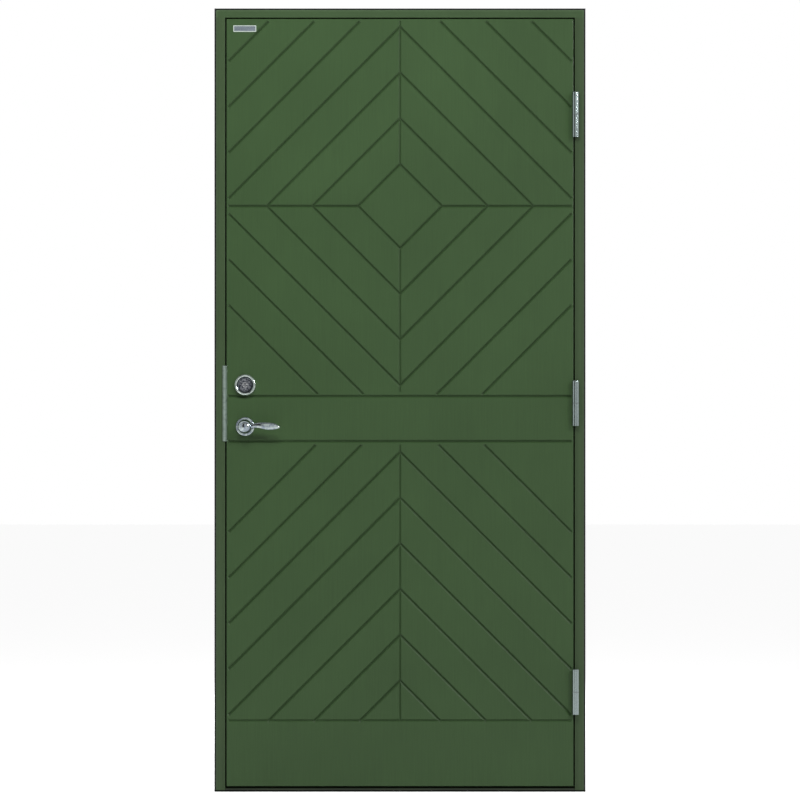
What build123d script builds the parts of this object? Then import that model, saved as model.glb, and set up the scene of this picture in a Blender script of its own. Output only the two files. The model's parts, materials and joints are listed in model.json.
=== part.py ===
# Panelled entrance door in its frame, opening outwards, hinges on the right and lock on the left.
#
# Seen from outside: +X to the right, -Y towards the viewer, +Z up. The origin is the middle of the
# frame's underside. The leaf is a sandwich of two skins on a timber rim with an insulating core, and its
# outer skin is milled with V-grooves that draw nested diamonds above and chevrons below a plain band.
# Lengths are in millimetres.
from build123d import *
import os
from math import atan, atan2, degrees, hypot, radians, sin, sqrt, tan

os.makedirs("parts", exist_ok=True)

# Frame
frame_width = 990.0
frame_height = 2090.0
frame_depth = 105.0
jamb_face = 28.5  # jamb seen beside the closed leaf
head_face = 24.5  # head seen above the closed leaf
stop_width = 21.5  # how far the stop stands in behind the leaf
stop_gap = 4.0  # room for the seals between leaf and stop
frame_arris = 2.5
rebate_arris = 1.0
base_seal_height = 4.5
base_seal_width = 12.0
sill_height = 7.5  # timber under the leaf
step_height = 22.5  # timber behind the leaf
strip_thickness = 2.5

# Leaf
leaf_thickness = 62.0
edge_gap = 3.5
bottom_gap = 4.5
skin_thickness = 10.0
leaf_arris = 2.0
lock_stile_width = 110.0
hinge_stile_width = 60.0
rail_height = 120.0

# Milled pattern, heights above the floor
groove_width = 9.5
groove_depth = 4.0
fine_groove_width = 7.0
fine_groove_depth = 3.0
groove_flat = 0.6  # flat tip of the cutter
side_margin = 3.0  # uncut rim at the leaf's sides
top_margin = 5.0
diamond_centre = 1562.0
first_diamond = 112.0  # half the diagonal of the middle diamond
line_pitch = 122.0  # from line to line, upright
lines_above = 7  # lines of the diamonds above their centre
lines_below = 6
band_top = 1054.8
band_bottom = 934.5
band_margin_above = 7.0
band_margin_below = 12.0
first_chevron = 1150.0  # height of the topmost apex, hidden by the band
chevron_count = 8
kick_rail_top = 190.0

# Seals
seal_inset = 7.0  # from the stop's free edge to the seal's centre
seal_bulb_width = 10.0
seal_stem_width = 2.6
seal_stem_depth = 6.0
seal_bulb_round = 1.4
seal_rest_gap = 0.3
seal_groove_gap = 0.2
sill_seal_height = 8.0

# Hinges
hinge_height = 121.0
bottom_hinge_height = 266.8  # centre above the floor
top_hinge_drop = 255.2  # centre below the leaf's top
knuckle_radius = 9.25
knuckle_standoff = 0.5  # between knuckle and leaf face
hinge_axis_inset = 5.0  # axis beyond the leaf's hinge edge
hinge_plate_thickness = 3.0
hinge_plate_depth = 36.0  # into the rebate
hinge_pin_radius = 5.0
washer_thickness = 1.0
knuckle_round = 1.6
cap_height = 6.0  # solid end of the upper knuckle
cap_line = 0.5  # fine groove round the cap
hinge_screw_pitch = 40.0
hinge_screw_depth = 22.0  # behind the frame's face

# Fits
running_gap = 0.05  # turning pieces, on the radius
fit_gap = 0.1  # pieces pushed together
pocket_gap = 0.3  # pieces laid in a pocket
guide_gap = 0.25  # around the bolts in the forend
clear_gap = 1.0  # around pieces that pass through the leaf
picking = 0.1  # tolerance when edges are picked by their place

# Lock. Its pieces stand at fixed heights above the handle.
backset = 50.0
handle_height = 974.5
cylinder_rise = 111.0
latch_rise = 28.0
dead_bolt_rise = 69.5
case_depth = 80.0
case_height = 190.0
case_thickness = 18.0
case_wall = 1.5
forend_width = 22.0
forend_height = 235.0
forend_thickness = 3.0
latch_size = 22.0
latch_thickness = 11.5
latch_throw = 12.0
latch_travel = 12.5
latch_head_length = 27.0
latch_nose = 2.0
handle_turn = 45.0  # degrees
dead_bolt_size = 30.0
dead_bolt_length = 38.0
dead_bolt_travel = 20.0
bolt_arris = 1.0
tail_thickness = 4.0
tail_height = 12.0
tail_clearance = 1.6
follower_radius = 8.45
follower_arm_width = 6.0
catch_gap = 0.3
spindle_side = 8.0
cam_turn = 90.0  # degrees
cam_thickness = 8.0
cam_hub_radius = 6.0
cam_tip_radius = 3.0
cam_arm_width = 5.0
cam_slack = 0.6
fork_relief = 1.2
stem_radius = 4.0
stem_square = 5.0

# Strike on the jamb
strike_width = 25.0
strike_height = 225.0
strike_thickness = 3.0
strike_bolt_gap = 1.5
strike_screw_offsets = (-100.0, -58.0, 50.0, 100.0)
box_wall = 1.5
box_depth = 17.0
box_width = 17.0

# Cover strip beside the lock
guard_height = 202.0
guard_rise = 61.5  # centre above the handle
guard_thickness = 2.0
guard_reach = 7.3  # over the jamb's face
guard_leg = 18.0
guard_corner = 1.5
guard_round = 0.6
guard_screw_pitch = 85.0
guard_screw_depth = 4.0  # behind the outer skin

# Cylinder and thumb turn
ring_radius = 28.0
ring_foot = 3.0
ring_height = 14.0
ring_lip_radius = 25.5
ring_round = 0.8
cup_radius = 22.0
cup_depth = 6.5
cup_ledge = 1.9
core_radius = 17.0
core_arris = 0.8
plug_radius = 7.5
plug_proud = 0.6
plug_tail = (2.0, 5.0)
keyway_width = 2.6
keyway_height = 9.0
keyway_depth = 20.0
turn_rose_radius = 26.0
rose_height = 8.0
rose_edge = 2.5
turn_base_radius = 10.0
turn_base_height = 8.0
turn_knob_length = 38.0
turn_knob_width = 11.0
turn_knob_height = 26.0
turn_knob_taper = 3.0  # degrees
turn_knob_round = 1.5

# Handles
rose_radius = 25.0
neck_radius = 10.0
neck_clearance = 1.5
hub_radius = 19.0
hub_height = 33.0  # centre of the hub above the leaf
spindle_reach = 28.0  # beyond each face of the leaf
grub_reach = 20.0  # grub screws beyond each face of the leaf
lever_length = 93.0
lever_sections = (
    # distance from the axis, height of the middle, half height, standing off the leaf, half thickness
    (4.0, 1.5, 6.4, 34.0, 6.0),
    (25.0, 2.5, 6.6, 37.0, 5.6),
    (48.0, 2.2, 9.0, 39.5, 5.0),
    (63.0, 0.9, 9.9, 40.0, 4.5),
    (79.0, 0.2, 8.0, 39.0, 3.8),
    (89.0, -1.0, 4.4, 37.6, 2.8),
    (lever_length, -1.8, 1.4, 37.0, 1.2),
)

# Name plate, left bare
name_plate_width = 61.0
name_plate_height = 17.0
name_plate_thickness = 1.2
name_plate_rim = 2.0
name_plate_relief = 0.5
name_plate_corner = 1.0
name_plate_drop = 26.0  # centre below the leaf's top
name_plate_inset = 49.0  # centre in from the leaf's edge

# Fixings. A screw is shank radius, head radius and length.
fixing_hole_radius = 7.0
fixing_count = 4
first_fixing = 130.0
last_fixing_drop = 105.5  # below the jamb's top
wood_screw = (2.2, 4.2, 24.0)
plate_screw = (1.8, 3.4, 16.0)
strip_screw = (1.8, 3.4, 14.0)
frame_screw = (2.8, 5.5, 90.0)
strip_screw_margin = 60.0
machine_screw_radius = 2.0
machine_screw_head = 3.8
screw_bore = 2.5
rose_screw_offset = 17.0
rose_grip = 6.0  # thread in the outside rose
cylinder_screw_offset = 12.0
cylinder_screw_rise = 3.5
cylinder_grip = 12.0  # thread in the cylinder body
thread_end = 1.0  # free thread beyond a screw's tip
grub_radius = 2.0
grub_length = 7.0

# Planes and places that follow from the sizes
half_width = frame_width / 2
frame_front = -frame_depth / 2
frame_back = frame_depth / 2
rebate_x = half_width - jamb_face
stop_x = rebate_x - stop_width
rebate_top = frame_height - head_face
stop_top = rebate_top - stop_width
leaf_x = rebate_x - edge_gap
leaf_top = rebate_top - edge_gap
leaf_bottom = sill_height + strip_thickness + bottom_gap
leaf_front = frame_front
leaf_back = leaf_front + leaf_thickness
leaf_middle = (leaf_front + leaf_back) / 2
core_front = leaf_front + skin_thickness
core_back = leaf_back - skin_thickness
stop_y = leaf_back + stop_gap
step_y = stop_y + strip_thickness
axis_x = leaf_x + hinge_axis_inset
axis_y = leaf_front - knuckle_radius - knuckle_standoff
top_hinge_height = leaf_top - top_hinge_drop
middle_hinge_height = (top_hinge_height + bottom_hinge_height) / 2
hinge_heights = (top_hinge_height, middle_hinge_height, bottom_hinge_height)
lock_x = -leaf_x + backset
case_front_x = -leaf_x + forend_thickness
cylinder_height = handle_height + cylinder_rise
latch_height = handle_height + latch_rise
dead_bolt_height = handle_height + dead_bolt_rise
lock_centre = (handle_height + cylinder_height) / 2
case_near = leaf_middle - case_thickness / 2
case_far = leaf_middle + case_thickness / 2
case_z = (lock_centre - case_height / 2, lock_centre + case_height / 2)
guard_centre = handle_height + guard_rise
guard_y = (leaf_front - pocket_gap - guard_thickness, leaf_front + guard_leg)
guard_z = (guard_centre - guard_height / 2, guard_centre + guard_height / 2)
cylinder_bore = core_radius + pocket_gap
handle_bore = neck_radius + clear_gap
stem_bore = stem_radius + clear_gap
thread_bore = machine_screw_radius + running_gap
fixing_pitch = (rebate_top - last_fixing_drop - first_fixing) / (fixing_count - 1)
fixing_heights = [first_fixing + fixing_pitch * i for i in range(fixing_count)]


def block(x, y, z, mode=Mode.ADD):
    """A box between two corners, given as a pair along each axis."""
    middle = ((x[0] + x[1]) / 2, (y[0] + y[1]) / 2, (z[0] + z[1]) / 2)
    with Locations(middle):
        Box(x[1] - x[0], y[1] - y[0], z[1] - z[0], mode=mode)


def rod(radius, start, end, mode=Mode.ADD):
    """A round bar or bore from one point to another."""
    run = Vector(*end) - Vector(*start)
    with BuildSketch(Plane(origin=start, z_dir=run.normalized())) as section:
        Circle(radius)
    extrude(section.sketch, amount=run.length, mode=mode)


def door_plane(x, z, side):
    """Plane through the door's thickness at x, z: local x is +X, local y points off the leaf."""
    face = leaf_front if side < 0 else leaf_back
    return Plane(origin=(x, face, z), x_dir=(1, 0, 0), z_dir=(0, 0, side))


def edge_plane(z):
    """Plane on the leaf's lock edge at height z: local x is up, the normal points into the leaf."""
    return Plane(origin=(-leaf_x, leaf_middle, z), x_dir=(0, 0, 1), z_dir=(1, 0, 0))


def turn_on_door(x, z, side, outline):
    """Revolve an outline of (radius, height off the leaf) about an axis square to the leaf."""
    with BuildSketch(door_plane(x, z, side)) as section:
        with BuildLine():
            Polyline(*outline, close=True)
        make_face()
    revolve(section.sketch, axis=Axis((x, 0, z), (0, 1, 0)))


def rose(z, side, radius, bore):
    """Round cover plate on one face of the leaf, its rim rounded."""
    with BuildPart() as made:
        turn_on_door(lock_x, z, side, ((bore, 0), (radius, 0), (radius, rose_height), (bore, rose_height)))
        outer = made.edges().filter_by(GeomType.CIRCLE).filter_by(lambda e: e.radius > radius - picking)
        fillet(outer.sort_by(Axis.Y)[0 if side < 0 else -1], radius=rose_edge)
    return made.part


def screw(size):
    """A countersunk screw, head at the origin, shank along -Z. Size is shank, head, length."""
    shank, head, length = size
    with BuildPart() as made:
        with BuildSketch(Plane.XZ):
            with BuildLine():
                Polyline((0, 0), (head, 0), (shank, shank - head), (shank, -length), (0, -length), close=True)
            make_face()
        revolve(axis=Axis.Z)
    return made.part


def screw_hole(size):
    """What a countersunk screw needs cut away, in the same place as screw()."""
    return screw([length + fit_gap for length in size])


def facing(point, direction):
    """Location whose +Z points along direction, for a screw head that shows on that side."""
    return Plane(origin=point, z_dir=direction).location


def put(part, places, mode=Mode.ADD):
    """Add or cut a part at each place."""
    with Locations(*places):
        add(part, mode=mode)


def hinge_screw_row(x, centre, side):
    """Three screw places up one hinge plate."""
    rises = (-hinge_screw_pitch, 0, hinge_screw_pitch)
    return [facing((x, frame_front + hinge_screw_depth, centre + rise), (side, 0, 0)) for rise in rises]


# Screw places, each used by the screws and by the holes for them
strike_screw_places = [
    facing((-rebate_x, leaf_middle, lock_centre + rise), (1, 0, 0)) for rise in strike_screw_offsets
]
forend_screw_rise = (forend_height - forend_width) / 2
forend_screw_places = [
    facing((-leaf_x, leaf_middle, lock_centre + rise), (-1, 0, 0))
    for rise in (-forend_screw_rise, forend_screw_rise)
]
guard_screw_places = [
    facing((-leaf_x, core_front + guard_screw_depth, guard_centre + rise), (-1, 0, 0))
    for rise in (-guard_screw_pitch, 0, guard_screw_pitch)
]
strip_screw_places = [
    facing(
        (i * (stop_x - strip_screw_margin) / 2, (step_y + frame_back) / 2, step_height + strip_thickness),
        (0, 0, 1),
    )
    for i in (-2, -1, 0, 1, 2)
]
corner_screw_places = [
    facing((side * (half_width - jamb_face / 2), y, frame_height), (0, 0, 1))
    for side in (-1, 1)
    for y in ((frame_front + stop_y) / 2, (stop_y + frame_back) / 2)
]
sill_screw_places = [
    facing((side * half_width, (step_y + frame_back) / 2, step_height / 2), (side, 0, 0)) for side in (-1, 1)
]
rose_screw_points = [(lock_x + side * rose_screw_offset, handle_height) for side in (-1, 1)]
cylinder_screw_points = [
    (lock_x + side * cylinder_screw_offset, cylinder_height + cylinder_screw_rise) for side in (-1, 1)
]

# Threshold: low in front under the leaf, a step behind it, a rebate for the base seal
with BuildPart() as threshold:
    with BuildSketch(Plane.YZ):
        with BuildLine():
            Polyline(
                (frame_front, base_seal_height),
                (frame_front, sill_height),
                (step_y, sill_height),
                (step_y, step_height),
                (frame_back, step_height),
                (frame_back, 0),
                (frame_front + base_seal_width, 0),
                (frame_front + base_seal_width, base_seal_height),
                close=True,
            )
        make_face()
    extrude(amount=rebate_x, both=True)
    for side in (-1, 1):
        ends = sorted((side * stop_x, side * rebate_x))
        block(ends, (stop_y, frame_back), (0, step_height), mode=Mode.SUBTRACT)
    put(screw_hole(strip_screw), strip_screw_places, mode=Mode.SUBTRACT)
    put(screw_hole(frame_screw), sill_screw_places, mode=Mode.SUBTRACT)
threshold.part.label = "threshold"
export_step(threshold.part, "parts/threshold.step")

# Metal wear strip over the threshold
with BuildPart() as threshold_strip:
    sill_top = sill_height + strip_thickness
    step_top = step_height + strip_thickness
    with BuildSketch(Plane.YZ):
        with BuildLine():
            Polyline(
                (frame_front, sill_height),
                (frame_front, sill_top),
                (stop_y, sill_top),
                (stop_y, step_top),
                (frame_back, step_top),
                (frame_back, step_height),
                (step_y, step_height),
                (step_y, sill_height),
                close=True,
            )
        make_face()
    extrude(amount=rebate_x, both=True)
    for side in (-1, 1):
        ends = sorted((side * stop_x, side * rebate_x))
        block(ends, (stop_y, frame_back), (0, step_top), mode=Mode.SUBTRACT)
    nosing = threshold_strip.edges().filter_by(Axis.X).group_by(Axis.Z)[-1].sort_by(Axis.Y)[0]
    fillet(nosing, radius=strip_thickness / 2)
    put(screw_hole(strip_screw), strip_screw_places, mode=Mode.SUBTRACT)
threshold_strip.part.label = "threshold_strip"
export_step(threshold_strip.part, "parts/threshold_strip.step")

with BuildPart() as threshold_screws:
    put(screw(strip_screw), strip_screw_places)
threshold_screws.part.label = "threshold_screws"
export_step(threshold_screws.part, "parts/threshold_screws.step")

# Sealing strip under the front edge of the whole frame
with BuildPart() as base_seal:
    block((-half_width, half_width), (frame_front, frame_front + base_seal_width), (0, base_seal_height))
base_seal.part.label = "base_seal"
export_step(base_seal.part, "parts/base_seal.step")

# Head, across the tops of both jambs
with BuildPart() as frame_head:
    with BuildSketch(Plane.YZ):
        with BuildLine():
            Polyline(
                (frame_front, rebate_top),
                (frame_front, frame_height),
                (frame_back, frame_height),
                (frame_back, stop_top),
                (stop_y, stop_top),
                (stop_y, rebate_top),
                close=True,
            )
        make_face()
    extrude(amount=half_width, both=True)
    outer = frame_head.edges().filter_by(Axis.X).group_by(Axis.Z)[-1]
    ends = frame_head.edges().filter_by(Axis.Z).group_by(Axis.Y)
    chamfer([*outer, *ends[0], *ends[-1]], length=frame_arris)
    groove = seal_stem_width / 2 + seal_groove_gap
    seal_z = stop_top + seal_inset
    block(
        (-stop_x, stop_x),
        (stop_y, stop_y + seal_stem_depth + seal_groove_gap),
        (seal_z - groove, seal_z + groove),
        mode=Mode.SUBTRACT,
    )
    put(screw_hole(frame_screw), corner_screw_places, mode=Mode.SUBTRACT)
frame_head.part.label = "frame_head"
export_step(frame_head.part, "parts/frame_head.step")


def jamb(side):
    """One jamb of the frame, from the floor to the head, with its stop and its seal groove."""
    with BuildPart() as made:
        with BuildSketch() as section:
            with BuildLine():
                Polyline(
                    (side * half_width, frame_front),
                    (side * rebate_x, frame_front),
                    (side * rebate_x, stop_y),
                    (side * stop_x, stop_y),
                    (side * stop_x, frame_back),
                    (side * half_width, frame_back),
                    close=True,
                )
            make_face()
            outer = section.vertices().filter_by(lambda v: abs(v.X) > half_width - picking)
            chamfer(outer, length=frame_arris)
            inner = section.vertices().filter_by(lambda v: abs(v.X) < rebate_x + picking and v.Y != stop_y)
            chamfer(inner, length=rebate_arris)
        extrude(amount=rebate_top)
        across = sorted((side * stop_x, side * half_width))
        block(across, (stop_y, frame_back), (stop_top, rebate_top), mode=Mode.SUBTRACT)
        block(
            across,
            (frame_front, frame_front + base_seal_width),
            (0, base_seal_height),
            mode=Mode.SUBTRACT,
        )
        groove = seal_stem_width / 2 + seal_groove_gap
        middle = side * (stop_x + seal_inset)
        block(
            (middle - groove, middle + groove),
            (stop_y, stop_y + seal_stem_depth + seal_groove_gap),
            (0, stop_top),
            mode=Mode.SUBTRACT,
        )
        for z in fixing_heights:
            rod(
                fixing_hole_radius,
                (side * half_width, leaf_middle, z),
                (side * rebate_x, leaf_middle, z),
                mode=Mode.SUBTRACT,
            )
        put(screw_hole(frame_screw), corner_screw_places + sill_screw_places, mode=Mode.SUBTRACT)
    return made


# Lock-side jamb, cut for the strike plate and its box
strike_y = (leaf_middle - strike_width / 2, leaf_middle + strike_width / 2)
strike_z = (lock_centre - strike_height / 2, lock_centre + strike_height / 2)
box_y = (leaf_middle - box_width / 2, leaf_middle + box_width / 2)
bolt_window = dead_bolt_size / 2 + strike_bolt_gap
latch_window = latch_size / 2 + strike_bolt_gap
box_z = (latch_height - latch_window - box_wall, dead_bolt_height + bolt_window + box_wall)
strike_back = -rebate_x - strike_thickness
with BuildPart() as lock_jamb:
    add(jamb(-1).part)
    block((strike_back, -rebate_x), strike_y, strike_z, mode=Mode.SUBTRACT)
    block((strike_back - box_depth, strike_back), box_y, box_z, mode=Mode.SUBTRACT)
    put(screw_hole(wood_screw), strike_screw_places, mode=Mode.SUBTRACT)
lock_jamb.part.label = "lock_jamb"
export_step(lock_jamb.part, "parts/lock_jamb.step")

with BuildPart() as hinge_jamb:
    add(jamb(1).part)
    for centre in hinge_heights:
        block(
            (rebate_x, rebate_x + hinge_plate_thickness),
            (frame_front, frame_front + hinge_plate_depth),
            (centre - hinge_height / 2, centre + hinge_height / 2),
            mode=Mode.SUBTRACT,
        )
        put(screw_hole(plate_screw), hinge_screw_row(rebate_x, centre, -1), mode=Mode.SUBTRACT)
hinge_jamb.part.label = "hinge_jamb"
export_step(hinge_jamb.part, "parts/hinge_jamb.step")

with BuildPart() as frame_screws:
    put(screw(frame_screw), corner_screw_places + sill_screw_places)
frame_screws.part.label = "frame_screws"
export_step(frame_screws.part, "parts/frame_screws.step")


def seal_section():
    """Section of a jamb seal: a bulb on the stop's face and a stem in its groove."""
    reach = stop_gap - seal_rest_gap
    with BuildSketch(mode=Mode.PRIVATE) as section:
        with Locations((0, -reach / 2)):
            RectangleRounded(seal_bulb_width, reach, seal_bulb_round)
            Rectangle(seal_stem_width, reach / 2 + seal_stem_depth, align=(Align.CENTER, Align.MIN))
    return section.sketch


def upright_seal(side):
    """A seal along one jamb. Local x runs across the stop, local y into its groove."""
    with BuildPart() as made:
        plane = Plane(origin=(side * (stop_x + seal_inset), stop_y, step_height + strip_thickness))
        with BuildSketch(plane):
            add(seal_section())
        extrude(amount=stop_top - step_height - strip_thickness)
    return made


seal_lock_side = upright_seal(-1)
seal_lock_side.part.label = "seal_lock_side"
export_step(seal_lock_side.part, "parts/seal_lock_side.step")

seal_hinge_side = upright_seal(1)
seal_hinge_side.part.label = "seal_hinge_side"
export_step(seal_hinge_side.part, "parts/seal_hinge_side.step")

with BuildPart() as seal_head:
    head_seal_plane = Plane(
        origin=(-stop_x, stop_y, stop_top + seal_inset), x_dir=(0, 0, -1), z_dir=(1, 0, 0)
    )
    with BuildSketch(head_seal_plane):
        add(seal_section())
    extrude(amount=2 * stop_x)
seal_head.part.label = "seal_head"
export_step(seal_head.part, "parts/seal_head.step")

# The threshold's seal is stuck to the step of the wear strip
with BuildPart() as seal_threshold:
    reach = stop_gap - seal_rest_gap
    sill_seal_z = (leaf_bottom + step_height + strip_thickness) / 2
    with BuildSketch(Plane(origin=(-stop_x, stop_y - reach / 2, sill_seal_z), x_dir=(0, 1, 0), z_dir=(1, 0, 0))):
        RectangleRounded(reach, sill_seal_height, seal_bulb_round)
    extrude(amount=2 * stop_x)
seal_threshold.part.label = "seal_threshold"
export_step(seal_threshold.part, "parts/seal_threshold.step")

# Strike plate, flush in the rebate, with windows for latch and dead bolt
with BuildPart() as strike_plate:
    strike_plane = Plane(origin=(-rebate_x, leaf_middle, lock_centre), x_dir=(0, 1, 0), z_dir=(1, 0, 0))
    with BuildSketch(strike_plane):
        Rectangle(strike_width, strike_height)
        with Locations((0, latch_height - lock_centre)):
            Rectangle(latch_thickness + 2 * strike_bolt_gap, 2 * latch_window, mode=Mode.SUBTRACT)
        with Locations((0, dead_bolt_height - lock_centre)):
            Rectangle(latch_thickness + 2 * strike_bolt_gap, 2 * bolt_window, mode=Mode.SUBTRACT)
    extrude(amount=-strike_thickness)
    put(screw_hole(wood_screw), strike_screw_places, mode=Mode.SUBTRACT)
strike_plate.part.label = "strike_plate"
export_step(strike_plate.part, "parts/strike_plate.step")

# Box behind the strike plate that takes both bolts
with BuildPart() as strike_box:
    block((strike_back - box_depth, strike_back), box_y, box_z)
    inside_y = (box_y[0] + box_wall, box_y[1] - box_wall)
    inside_z = (box_z[0] + box_wall, box_z[1] - box_wall)
    block((strike_back - box_depth + box_wall, strike_back), inside_y, inside_z, mode=Mode.SUBTRACT)
strike_box.part.label = "strike_box"
export_step(strike_box.part, "parts/strike_box.step")

with BuildPart() as strike_screws:
    put(screw(wood_screw), strike_screw_places)
strike_screws.part.label = "strike_screws"
export_step(strike_screws.part, "parts/strike_screws.step")


level_reach = leaf_x - side_margin - groove_width / 2
height_above = leaf_top - top_margin - groove_width / 2 - diamond_centre
height_below = diamond_centre - band_top - band_margin_above
chevron_top = band_bottom - band_margin_below


def slanted_runs(direction):
    """Grooves that rise to the right (direction 1) or fall to the right (-1), as pairs of (x, z)."""
    runs = []
    for side in (-1, 1):
        for up, count, height in ((1, lines_above, height_above), (-1, lines_below, height_below)):
            if side * up == direction:
                continue
            for line in range(count):
                size = first_diamond + line_pitch * line
                near, far = max(0, size - height), min(size, level_reach)
                if near < far:
                    runs.append([(side * t, diamond_centre + up * (size - t)) for t in (near, far)])
        if side == direction:
            continue
        for line in range(chevron_count):
            apex = first_chevron - line_pitch * line
            near, far = max(0, apex - chevron_top), min(apex - kick_rail_top, level_reach)
            if near < far:
                runs.append([(side * t, apex - t) for t in (near, far)])
    return runs


level_runs = [
    [(-level_reach, diamond_centre), (-first_diamond, diamond_centre)],
    [(first_diamond, diamond_centre), (level_reach, diamond_centre)],
    [(-level_reach, band_top), (level_reach, band_top)],
    [(-level_reach, band_bottom), (level_reach, band_bottom)],
]
upright_runs = [
    [(0, diamond_centre + first_diamond), (0, leaf_top - top_margin - fine_groove_width / 2)],
    [(0, band_top + band_margin_above + fine_groove_width), (0, diamond_centre - first_diamond)],
    [(0, kick_rail_top), (0, chevron_top)],
]
kick_runs = [[(-level_reach, kick_rail_top), (level_reach, kick_rail_top)]]


def mill(runs, width, depth):
    """Cut V-grooves into the outer face. Each one ends in a slope like its sides."""
    slope = degrees(atan((width - groove_flat) / 2 / depth))
    with BuildSketch(Plane(origin=(0, leaf_front, 0), x_dir=(1, 0, 0), z_dir=(0, -1, 0))) as lines:
        for (x1, z1), (x2, z2) in runs:
            angle = degrees(atan2(z2 - z1, x2 - x1))
            with Locations(((x1 + x2) / 2, (z1 + z2) / 2)):
                Rectangle(hypot(x2 - x1, z2 - z1) + width, width, rotation=angle)
    extrude(lines.sketch, amount=-depth, taper=slope, mode=Mode.SUBTRACT)


# Outer skin with the milled pattern
with BuildPart() as outer_skin:
    block((-leaf_x, leaf_x), (leaf_front, core_front), (leaf_bottom, leaf_top))
    fillet(outer_skin.faces().sort_by(Axis.Y)[0].edges(), radius=leaf_arris)
    mill(slanted_runs(1), groove_width, groove_depth)
    mill(slanted_runs(-1), groove_width, groove_depth)
    mill(level_runs, groove_width, groove_depth)
    mill(upright_runs, fine_groove_width, fine_groove_depth)
    mill(kick_runs, fine_groove_width, fine_groove_depth)
    block((-leaf_x, -leaf_x + guard_thickness), (leaf_front, core_front), guard_z, mode=Mode.SUBTRACT)
    rod(cylinder_bore, (lock_x, leaf_front, cylinder_height), (lock_x, core_front, cylinder_height), Mode.SUBTRACT)
    rod(handle_bore, (lock_x, leaf_front, handle_height), (lock_x, core_front, handle_height), Mode.SUBTRACT)
    for x, z in rose_screw_points:
        rod(screw_bore, (x, leaf_front, z), (x, core_front, z), Mode.SUBTRACT)
    for centre in hinge_heights:
        block(
            (leaf_x - hinge_plate_thickness, leaf_x),
            (leaf_front, core_front),
            (centre - hinge_height / 2, centre + hinge_height / 2),
            mode=Mode.SUBTRACT,
        )
outer_skin.part.label = "outer_skin"
export_step(outer_skin.part, "parts/outer_skin.step")

with BuildPart() as inner_skin:
    block((-leaf_x, leaf_x), (core_back, leaf_back), (leaf_bottom, leaf_top))
    fillet(inner_skin.faces().sort_by(Axis.Y)[-1].edges(), radius=leaf_arris)
    rod(handle_bore, (lock_x, core_back, handle_height), (lock_x, leaf_back, handle_height), Mode.SUBTRACT)
    rod(stem_bore, (lock_x, core_back, cylinder_height), (lock_x, leaf_back, cylinder_height), Mode.SUBTRACT)
    for x, z in rose_screw_points + cylinder_screw_points:
        rod(screw_bore, (x, core_back, z), (x, leaf_back, z), Mode.SUBTRACT)
inner_skin.part.label = "inner_skin"
export_step(inner_skin.part, "parts/inner_skin.step")

# Timber rim of the leaf. The lock stile is wide enough to take the lock case.
with BuildPart() as lock_stile:
    block((-leaf_x, -leaf_x + lock_stile_width), (core_front, core_back), (leaf_bottom, leaf_top))
    block((-leaf_x, -leaf_x + guard_thickness), (core_front, guard_y[1]), guard_z, mode=Mode.SUBTRACT)
    with BuildSketch(edge_plane(lock_centre)):
        SlotOverall(forend_height + 2 * fit_gap, forend_width + 2 * fit_gap)
    extrude(amount=forend_thickness, mode=Mode.SUBTRACT)
    block(
        (case_front_x, case_front_x + case_depth + pocket_gap),
        (case_near - pocket_gap, case_far + pocket_gap),
        (case_z[0] - pocket_gap, case_z[1] + pocket_gap),
        mode=Mode.SUBTRACT,
    )
    rod(cylinder_bore, (lock_x, core_front, cylinder_height), (lock_x, case_near, cylinder_height), Mode.SUBTRACT)
    rod(stem_bore, (lock_x, case_far, cylinder_height), (lock_x, core_back, cylinder_height), Mode.SUBTRACT)
    rod(handle_bore, (lock_x, core_front, handle_height), (lock_x, core_back, handle_height), Mode.SUBTRACT)
    for x, z in rose_screw_points:
        rod(screw_bore, (x, core_front, z), (x, core_back, z), Mode.SUBTRACT)
    for x, z in cylinder_screw_points:
        rod(screw_bore, (x, case_far, z), (x, core_back, z), Mode.SUBTRACT)
    put(screw_hole(plate_screw), guard_screw_places + forend_screw_places, mode=Mode.SUBTRACT)
lock_stile.part.label = "lock_stile"
export_step(lock_stile.part, "parts/lock_stile.step")

with BuildPart() as hinge_stile:
    block((leaf_x - hinge_stile_width, leaf_x), (core_front, core_back), (leaf_bottom, leaf_top))
    for centre in hinge_heights:
        block(
            (leaf_x - hinge_plate_thickness, leaf_x),
            (core_front, leaf_front + hinge_plate_depth),
            (centre - hinge_height / 2, centre + hinge_height / 2),
            mode=Mode.SUBTRACT,
        )
        put(screw_hole(plate_screw), hinge_screw_row(leaf_x, centre, 1), mode=Mode.SUBTRACT)
hinge_stile.part.label = "hinge_stile"
export_step(hinge_stile.part, "parts/hinge_stile.step")

core_x = (-leaf_x + lock_stile_width, leaf_x - hinge_stile_width)
with BuildPart() as top_rail:
    block(core_x, (core_front, core_back), (leaf_top - rail_height, leaf_top))
top_rail.part.label = "top_rail"
export_step(top_rail.part, "parts/top_rail.step")

with BuildPart() as bottom_rail:
    block(core_x, (core_front, core_back), (leaf_bottom, leaf_bottom + rail_height))
bottom_rail.part.label = "bottom_rail"
export_step(bottom_rail.part, "parts/bottom_rail.step")

with BuildPart() as insulation_core:
    block(core_x, (core_front, core_back), (leaf_bottom + rail_height, leaf_top - rail_height))
insulation_core.part.label = "insulation_core"
export_step(insulation_core.part, "parts/insulation_core.step")

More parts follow.
